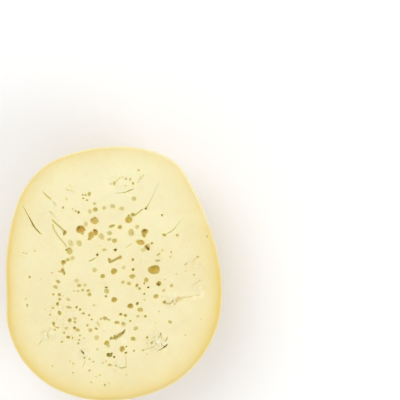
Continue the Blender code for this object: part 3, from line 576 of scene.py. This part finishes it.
def face_shape(points, eyes, fissures):
    """The face's height above FACE_HEIGHT at points, the depth that sets a hole's golden tone and painted
    shade there, and the painted highlight on a hole's lip.
    """
    hole = np.zeros(len(points))
    tone_and_shade_depth = np.zeros(len(points))
    lip = np.zeros(len(points))
    for eye in eyes:
        near = within(eye, points)
        share = eye.share(points[near])
        drop = eye.drop(share)
        hole[near] = np.maximum(hole[near], drop)
        # The depth that sets the hole's golden tone and painted shade, shallower near the rim.
        walls = RIM_TONE_AND_SHADE + WALL_TONE_AND_SHADE * np.clip(1 - share, 0.0, 1.0) * eye.half.min()
        tone_and_shade_depth[near] = np.maximum(tone_and_shade_depth[near], np.minimum(drop, walls))
        # Painted highlight on the eye's lip, moved toward the lower right where the light catches it.
        gap = (eye.share(points[near] - np.array(LIP_HIGHLIGHT_SHIFT) * 0.6) - 1) * eye.half.min()
        pale = np.clip(1 - np.abs(gap) / 0.7, 0.0, 1.0) * np.clip(eye.depth / 2.5, 0.0, 1.0)
        lip[near] = np.maximum(lip[near], pale)
    for fissure in fissures:
        near = fissure.near(points)
        drop = fissure.drop(points[near])
        hole[near] = np.maximum(hole[near], drop)
        tone_and_shade_depth[near] = np.maximum(tone_and_shade_depth[near], drop)
        # Painted highlight on the fissure's lips, moved the same way.
        distance, half, depth = fissure.across(points[near] - np.array(LIP_HIGHLIGHT_SHIFT))
        pale = np.clip(1 - np.abs(distance - half) / 0.6, 0.0, 1.0) * np.clip(depth / 1.5, 0.0, 1.0)
        lip[near] = np.maximum(lip[near], pale)
    lip *= 1 - np.clip(hole / 0.5, 0.0, 1.0)
    angle, radius = polar(points)
    inset = rim_radius(angle) - radius
    swell = np.zeros(len(points))
    for size, z, rise in SWELLS:
        swell += np.array([noise.noise(Vector((x / size, y / size, z))) for x, y in points]) * rise
    swell *= ease(inset, EDGE_ROUNDING, EDGE_ROUNDING + 5)
    return swell - hole, tone_and_shade_depth, lip


def strongest(points, places):
    """How strong the strongest of places, each x, y, radius and strength, is at points."""
    most = np.zeros(len(points))
    for x, y, radius, strength in places:
        away = np.hypot(points[:, 0] - x, points[:, 1] - y)
        most = np.maximum(most, strength * (1 - ease(away, 0.4 * radius, radius)))
    return most


def triangulated(points, border):
    """Triangles between points, inside the closed border that the first points make."""
    count = len(border)
    edges = [(i, (i + 1) % count) for i in range(count)]
    out = delaunay_2d_cdt([Vector(p) for p in points], edges, [], 1, 1e-6)
    return np.array([tuple(p) for p in out[0]]), np.array([face[:] for face in out[2]])


# ---- Rind -----------------------------------------------------------------------------------------


def by_the_edge(angle, inset):
    """How golden the paste is this far inside the cut edge, and its partly painted pale line and painted
    shade.
    """
    compass = [math.radians(turn) for turn, *_ in BY_THE_EDGE]
    strength, fade, pale, dull = (
        np.interp(angle, compass, [row[k] for row in BY_THE_EDGE], period=math.tau) for k in (1, 2, 3, 4)
    )
    gold = strength * np.minimum(1.0, np.exp((2.0 - inset) / fade))
    gold *= 0.45 + 0.55 * ease(inset, 0.0, 2.4 * pale + 0.6)
    # The pale line at the very edge is partly the paste's own pale rim and partly a painted highlight; the
    # darker band just inside it is painted shade.
    pale = pale * (1 - ease(inset, 0.4, 1.6))
    dull = dull * ease(inset, 0.4, 1.3) * (1 - ease(inset, 1.5, 3.6))
    return {"edge": inset, "gold": gold, "pale": pale, "dull": dull}


def back_place(points):
    """The rounded back's surface, in 3-D, for points of its unrolled plane."""
    angle, radius = polar(points)
    share = np.clip(radius / (rim_radius(angle) * UNROLLED), 0.0, 1.0)
    first = math.asin(EDGE_ROUNDING / ROUND_DEPTH)
    dip = first + (1 - share) * (math.pi / 2 - first)
    flat = from_polar(angle, rim_radius(angle) * np.cos(dip) / math.cos(first))
    height = FACE_HEIGHT - ROUND_DEPTH * np.sin(dip)
    place = np.column_stack([flat, height])
    middle = np.array([POLE[0], POLE[1], FACE_HEIGHT])
    normal = (place - middle) / np.array([*HALF_SIZE, ROUND_DEPTH]) ** 2
    normal /= np.linalg.norm(normal, axis=1)[:, None]
    fade = ease(FACE_HEIGHT - height, 1.5, 9) * ease(height, 0.2, 6)
    place += normal * (np.array([relief(*p) for p in place]) * fade)[:, None]
    place[:, 2] = np.maximum(place[:, 2], 0.0)
    return place


def relief(x, y, z):
    """How far the rind stands out or in at a place, in millimetres."""
    lumps = 0.55 * noise.noise(Vector((x / 34, y / 34, z / 34)))
    dents = 0.22 * noise.noise(Vector((x / 12 + 40, y / 12, z / 12)))
    folds = 0.16 * (0.5 - abs(noise.noise(Vector((x / 8, y / 26 + 20, z / 8)))) * 2)
    return lumps + dents + folds


# ---- One closed mesh ------------------------------------------------------------------------------


class Surface:
    """Patches of triangles, each with its points' places and facts, joined where their borders meet."""

    FACTS = ("edge", "gold", "pale", "dull", "hole", "lip", "crumble", "fleck", "dark", "warm")

    def __init__(self):
        self.place, self.facts, self.chart, self.faces, self.slots = [], [], [], [], []
        self.count = 0

    def add(self, place, faces, slot, chart, **facts):
        columns = [facts.get(fact, np.zeros(len(place))) for fact in self.FACTS]
        self.place.append(place)
        self.facts.append(np.column_stack(columns))
        self.chart.append(chart)
        self.faces.append(np.asarray(faces) + self.count)
        self.slots.append(np.full(len(faces), slot))
        self.count += len(place)

    def build(self, name, materials):
        facts, faces = np.vstack(self.facts), np.vstack(self.faces)
        mesh = bpy.data.meshes.new(name)
        mesh.from_pydata(np.vstack(self.place) * MM, [], faces.tolist())
        for material in materials:
            mesh.materials.append(material)
        mesh.polygons.foreach_set("material_index", np.concatenate(self.slots).astype(np.int32))
        for i, fact in enumerate(self.FACTS):
            layer = mesh.attributes.new(fact, "FLOAT", "POINT")
            layer.data.foreach_set("value", facts[:, i].astype(np.float32))
        uv = mesh.uv_layers.new(name="OFBake")
        uv.uv.foreach_set("vector", np.vstack(self.chart)[faces.ravel()].astype(np.float32).ravel())
        bm = bmesh.new()
        bm.from_mesh(mesh)
        borders = [vertex for vertex in bm.verts if vertex.is_boundary]
        bmesh.ops.remove_doubles(bm, verts=borders, dist=WELD * MM)
        bm.to_mesh(mesh)
        bm.free()
        mesh.shade_smooth()
        return mesh


def face_chart(points):
    """Where the face lies on the map: its left part."""
    return (points + (80, 92)) * 0.0037 + (0.006, 0.006)


def back_chart(points):
    """Where the unrolled back lies on the map: its right part."""
    return (points / UNROLLED + (77, 90)) * 0.0026 + (0.598, 0.01)


def turned(points, faces, sign):
    """Faces whose corners run anticlockwise on the plane of points for a sign of 1, clockwise for -1."""
    a, b, c = (points[faces[:, k]] for k in range(3))
    cross = (b[:, 0] - a[:, 0]) * (c[:, 1] - a[:, 1]) - (b[:, 1] - a[:, 1]) * (c[:, 0] - a[:, 0])
    return np.where((cross * sign > 0)[:, None], faces, faces[:, ::-1])


def add_face(surface):
    """The cut face, with its eyes, fissures and flecks; the flecks are partly painted highlights."""
    eyes, fissures = make_eyes(), make_fissures()
    border, points = face_points(eyes, fissures)
    points, faces = triangulated(points, border)
    height, hole, lip = face_shape(points, eyes, fissures)
    angle, radius = polar(points)
    place = np.column_stack([points, FACE_HEIGHT + height])
    inset = rim_radius(angle) - radius
    # hole sets the golden tone and painted shade inside the holes; lip sets the painted highlights on their
    # lips.
    facts = by_the_edge(angle, inset) | {"hole": hole, "lip": lip}
    facts["crumble"] = strongest(points, CRUMBLY)
    # Pale flecks: partly pale flakes, partly painted highlights on the raised bits.
    facts["fleck"] = strongest(points, FLECKS_AND_HIGHLIGHTS) * (1 - ease(hole, 0.0, 0.3))
    # Painted shade inside the holes.
    facts["dark"] = strongest(points, HOLE_SHADE) * ease(hole, 0.3, 1.0)
    facts["warm"] = strongest(points, WARM) * ease(hole, 0.3, 1.0)
    place[:, 2] += FLECK_HEIGHT * facts["fleck"]
    surface.add(place, turned(points, faces, 1), 0, face_chart(points), **facts)


def add_rounded_edge(surface):
    """The narrow ring of paste between the cut face and the rind."""
    angle = np.arange(RIM_POINTS) * math.tau / RIM_POINTS
    rows, charts, edges = [], [], []
    for k in range(EDGE_STEPS + 1):
        bend = k / EDGE_STEPS * math.pi / 2
        flat = from_polar(angle, rim_radius(angle) - EDGE_ROUNDING * (1 - math.sin(bend)))
        height = np.full(RIM_POINTS, FACE_HEIGHT - EDGE_ROUNDING * (1 - math.cos(bend)))
        rows.append(np.column_stack([flat, height]))
        charts.append(face_chart(from_polar(angle, rim_radius(angle) - EDGE_ROUNDING * (1 - bend))))
        edges.append(np.full(RIM_POINTS, EDGE_ROUNDING * (1 - bend)))
    ring = np.arange(RIM_POINTS)
    after = (ring + 1) % RIM_POINTS
    faces = []
    for k in range(EDGE_STEPS):
        inner, outer = k * RIM_POINTS, (k + 1) * RIM_POINTS
        faces.append(np.column_stack([inner + ring, outer + ring, outer + after]))
        faces.append(np.column_stack([inner + ring, outer + after, inner + after]))
    facts = by_the_edge(np.tile(angle, EDGE_STEPS + 1), np.concatenate(edges))
    surface.add(np.vstack(rows), np.vstack(faces), 0, np.vstack(charts), **facts)


def add_back(surface):
    """The rounded back, with its rind."""
    angle = np.arange(RIM_POINTS) * math.tau / RIM_POINTS
    border = from_polar(angle, rim_radius(angle) * UNROLLED)
    second = from_polar(angle, rim_radius(angle) * UNROLLED - 1.0)
    grid = hex_grid(*BACK_REACH, BACK_SPACING, np.random.default_rng(5))
    angle, radius = polar(grid)
    grid = grid[radius < rim_radius(angle) * UNROLLED - 2.2]
    points, faces = triangulated(np.vstack([border, second, grid]), border)
    angle, radius = polar(points)
    edge = -0.57 * EDGE_ROUNDING - (rim_radius(angle) * UNROLLED - radius)
    surface.add(back_place(points), turned(points, faces, -1), 1, back_chart(points), edge=edge)


def cheese_mesh(materials):
    surface = Surface()
    add_face(surface)
    add_rounded_edge(surface)
    add_back(surface)
    return surface.build("caciocavallo_half", materials)


# ---- Materials ------------------------------------------------------------------------------------


def screen(red, green, blue):
    """A colour of 0 to 255 as seen on a screen, in the values that shaders take."""
    steps = [c / 255 for c in (red, green, blue)]
    return (*[c / 12.92 if c <= 0.04045 else ((c + 0.055) / 1.055) ** 2.4 for c in steps], 1.0)


def new_material(name):
    material = bpy.data.materials.new(name)
    material.use_nodes = True
    return material, material.node_tree, material.node_tree.nodes["Principled BSDF"]


def add(tree, kind, inputs, **settings):
    """A new node's outputs. inputs are its sockets' values, or the outputs that feed them."""
    made = tree.nodes.new("ShaderNode" + kind)
    for key, value in settings.items():
        setattr(made, key, value)
    for key, value in inputs.items():
        if isinstance(value, bpy.types.NodeSocket):
            tree.links.new(value, made.inputs[key])
        else:
            made.inputs[key].default_value = value
    return made.outputs


def blend(tree, factor, first, second, mode="MIX"):
    return add(tree, "Mix", {0: factor, 6: first, 7: second}, data_type="RGBA", blend_type=mode)[2]


def span(tree, value, low, high, start=0.0, end=1.0):
    """A smooth rise from start to end, as value goes from low to high."""
    inputs = {0: value, 1: low, 2: high, 3: start, 4: end}
    return add(tree, "MapRange", inputs, interpolation_type="SMOOTHSTEP")[0]


def grain(tree, size, detail=3.0, roughness=0.5, stretch=(1.0, 1.0, 1.0)):
    """Noise about 0.5, with features of this size in millimetres."""
    place = add(tree, "TexCoord", {})["Object"]
    place = add(tree, "Mapping", {0: place, 3: stretch})[0]
    inputs = {"Vector": place, "Scale": 1000 / size, "Detail": detail, "Roughness": roughness}
    return add(tree, "TexNoise", inputs)[0]


def mottled(tree, colour, size, detail, low, high, most, shade):
    """colour with patches of shade, of this size in millimetres, up to most where the grain is high."""
    return blend(tree, span(tree, grain(tree, size, detail), low, high, 0.0, most), colour, screen(*shade))


def fact(tree, name):
    return add(tree, "Attribute", {}, attribute_name=name)["Fac"]


def times(tree, a, b):
    return add(tree, "Math", {0: a, 1: b}, operation="MULTIPLY")[0]


def plus(tree, a, b):
    return add(tree, "Math", {0: a, 1: b}, operation="ADD")[0]


def bump(tree, height, depth, strength, under=None):
    """A normal from a height, where a rise from 0 to 1 is depth millimetres."""
    inputs = {"Height": height, "Distance": depth * MM, "Strength": strength}
    if under is not None:
        inputs["Normal"] = under
    return add(tree, "Bump", inputs)[0]


def paste_material():
    """Pale, moist paste, golden under the rind and inside the eyes; painted light makes it brighter towards
    the top and paints highlights and shade by the cut edge, shade in the holes and highlights on their lips
    and the flecks.
    """
    material, tree, shader = new_material("paste")
    place = add(tree, "TexCoord", {})["Object"]
    # Painted light: the paste is a little brighter towards the top of the face.
    painted_top_light = span(tree, add(tree, "SeparateXYZ", {0: place})["Y"], 0.01, 0.07)
    light = blend(tree, painted_top_light, screen(243, 233, 188), screen(246, 238, 196))
    dark = blend(tree, painted_top_light, screen(240, 229, 183), screen(242, 234, 191))
    colour = blend(tree, span(tree, grain(tree, 25), 0.35, 0.65), light, dark)
    colour = mottled(tree, colour, 5, 4.0, 0.45, 0.8, 0.4, (236, 224, 171))
    colour = mottled(tree, colour, 3, 3.0, 0.55, 0.8, 0.5, (248, 239, 204))
    gold = times(tree, fact(tree, "gold"), span(tree, grain(tree, 9), 0.2, 0.8, 0.85, 1.12))
    colour = blend(tree, gold, colour, screen(234, 209, 120))
    # Painted shade just inside the cut edge, strongest along the bottom.
    colour = blend(tree, fact(tree, "dull"), colour, screen(205, 188, 148))
    # The pale line at the very edge: partly the paste's own pale rim, partly a painted highlight, strongest
    # at the top.
    colour = blend(tree, times(tree, fact(tree, "pale"), 0.85), colour, screen(250, 239, 195))
    crumbs = grain(tree, 1.8, 3.0)
    rough = times(tree, fact(tree, "crumble"), span(tree, crumbs, 0.5, 0.68))
    colour = blend(tree, times(tree, rough, 0.5), colour, screen(219, 201, 139))
    rough = times(tree, fact(tree, "crumble"), span(tree, crumbs, 0.36, 0.48, 1.0, 0.0))
    colour = blend(tree, times(tree, rough, 0.7), colour, screen(251, 243, 205))
    # Pale flecks, partly pale flakes and partly painted highlights.
    colour = blend(tree, fact(tree, "fleck"), colour, screen(252, 245, 207))
    # Painted highlights on the lips of the holes.
    colour = blend(tree, times(tree, fact(tree, "lip"), 0.7), colour, screen(251, 234, 155))
    # Inside the holes the paste turns golden and darker with depth: partly its own colour, partly painted
    # shade.
    hole = fact(tree, "hole")
    colour = blend(tree, span(tree, hole, 0.05, 1.2, 0.0, 0.92), colour, screen(220, 209, 149))
    colour = blend(tree, span(tree, hole, 0.7, 2.4, 0.0, 0.9), colour, screen(218, 200, 105))
    colour = blend(tree, span(tree, hole, 1.9, 3.6, 0.0, 0.9), colour, screen(233, 201, 86))
    # Painted shade in deep narrow cores and on the shaded sides of holes.
    colour = blend(tree, fact(tree, "dark"), colour, screen(112, 92, 34))
    colour = blend(tree, fact(tree, "warm"), colour, screen(234, 178, 98))
    tree.links.new(colour, shader.inputs["Base Color"])
    tree.links.new(span(tree, grain(tree, 3), 0.3, 0.7, 0.42, 0.56), shader.inputs["Roughness"])
    normal = bump(tree, grain(tree, 0.7), 0.05, 0.35)
    normal = bump(tree, grain(tree, 1.6, stretch=(1.0, 0.12, 1.0)), 0.05, 0.3, normal)
    normal = bump(tree, times(tree, fact(tree, "crumble"), grain(tree, 2.2, 2.0)), 1.6, 1.0, normal)
    tree.links.new(normal, shader.inputs["Normal"])
    shader.inputs["Specular IOR Level"].default_value = 0.35
    shader.inputs["Subsurface Weight"].default_value = 0.45
    shader.inputs["Subsurface Radius"].default_value = (1.0, 0.75, 0.4)
    shader.inputs["Subsurface Scale"].default_value = 0.002
    return material


def rind_material():
    """Thin golden-brown rind, mottled and finely pitted, with a pale line along the cut that is partly the
    paste showing and partly a painted highlight.
    """
    material, tree, shader = new_material("rind")
    large = span(tree, grain(tree, 16, 4.0), 0.35, 0.65)
    colour = blend(tree, large, screen(220, 191, 112), screen(203, 170, 88))
    small = span(tree, grain(tree, 5, 5.0, 0.6), 0.46, 0.68, 0.0, 0.8)
    colour = blend(tree, small, colour, screen(172, 139, 66))
    colour = mottled(tree, colour, 9, 3.0, 0.58, 0.72, 0.6, (240, 214, 146))
    colour = mottled(tree, colour, 4, 3.0, 0.56, 0.68, 0.55, (216, 166, 84))
    fine = grain(tree, 1.6, 3.0)
    colour = blend(tree, span(tree, fine, 0.5, 0.68, 0.0, 0.36), colour, screen(166, 130, 62))
    colour = blend(tree, span(tree, fine, 0.3, 0.48, 0.34, 0.0), colour, screen(240, 215, 150))
    place = add(tree, "TexCoord", {})["Object"]
    pits = add(tree, "TexVoronoi", {"Vector": place, "Scale": 1000 / 2.4, "Randomness": 1.0})["Distance"]
    pitted = times(tree, span(tree, pits, 0.10, 0.26, 1.0, 0.0), span(tree, grain(tree, 11), 0.42, 0.6))
    colour = blend(tree, times(tree, pitted, 0.6), colour, screen(146, 104, 42))
    # A pale line along the cut: partly the paste showing below the cut, partly a painted highlight on the
    # rounded edge.
    ragged = plus(tree, fact(tree, "edge"), times(tree, grain(tree, 2.5), 1.2))
    colour = blend(tree, span(tree, ragged, -2.4, -0.9), colour, screen(250, 238, 192))
    tree.links.new(colour, shader.inputs["Base Color"])
    tree.links.new(span(tree, grain(tree, 4), 0.3, 0.7, 0.4, 0.62), shader.inputs["Roughness"])
    normal = bump(tree, times(tree, pitted, -1.0), 0.25, 0.8)
    normal = bump(tree, grain(tree, 1.3, 4.0), 0.12, 0.5, normal)
    normal = bump(tree, grain(tree, 5, 3.0), 0.3, 0.4, normal)
    tree.links.new(normal, shader.inputs["Normal"])
    shader.inputs["Specular IOR Level"].default_value = 0.4
    shader.inputs["Subsurface Weight"].default_value = 0.1
    shader.inputs["Subsurface Radius"].default_value = (1.0, 0.6, 0.25)
    shader.inputs["Subsurface Scale"].default_value = 0.0015
    return material


# ---- The half -------------------------------------------------------------------------------------

mesh = cheese_mesh([paste_material(), rind_material()])
cheese = bpy.data.objects.new("caciocavallo_half", mesh)
bpy.context.scene.collection.objects.link(cheese)
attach(cheese, "root")
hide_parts("caciocavallo")

# ---- Floor, lights and camera ---------------------------------------------------------------------

VIEW_WIDTH = 278.0  # of the cut face's plane, across the picture
VIEW_MIDDLE = (59.9, 51.1)  # the place on the cut face's plane in the middle of the picture
LENS, SENSOR = 100.0, 36.0


def pointing(thing, target):
    thing.rotation_euler = (Vector(target) - thing.location).to_track_quat("-Z", "Y").to_euler()


def add_light(name, place, size, power, target=(0.0, 0.0, 0.06)):
    light = bpy.data.lights.new(name, "AREA")
    light.shape = "DISK"
    light.size = size
    light.energy = power
    lamp = bpy.data.objects.new(name, light)
    lamp.location = place
    pointing(lamp, target)
    bpy.context.scene.collection.objects.link(lamp)


bpy.ops.mesh.primitive_plane_add(size=6.0, location=(0.0, 0.0, 0.0))
floor = bpy.context.object
floor.name = "floor"
pale, _, shader = new_material("floor")
shader.inputs["Base Color"].default_value = screen(254, 254, 254)
shader.inputs["Roughness"].default_value = 0.7
shader.inputs["Specular IOR Level"].default_value = 0.2
floor.data.materials.append(pale)

add_light("key", (-0.6, 0.8, 1.5), 1.4, 9.0)
add_light("fill", (1.0, -0.6, 0.9), 1.0, 5.0)

world = bpy.data.worlds.new("studio")
world.use_nodes = True
world.node_tree.nodes["Background"].inputs["Color"].default_value = (1.0, 1.0, 1.0, 1.0)
world.node_tree.nodes["Background"].inputs["Strength"].default_value = 0.72
bpy.context.scene.world = world
bpy.context.scene.view_settings.view_transform = "Standard"

camera = bpy.data.cameras.new("camera")
camera.lens = LENS
camera.sensor_width = SENSOR
eye = bpy.data.objects.new("camera", camera)
distance = VIEW_WIDTH / 2 / (SENSOR / 2 / LENS)
eye.location = (VIEW_MIDDLE[0] * MM, VIEW_MIDDLE[1] * MM, (FACE_HEIGHT + distance) * MM)
bpy.context.scene.collection.objects.link(eye)
bpy.context.scene.camera = eye
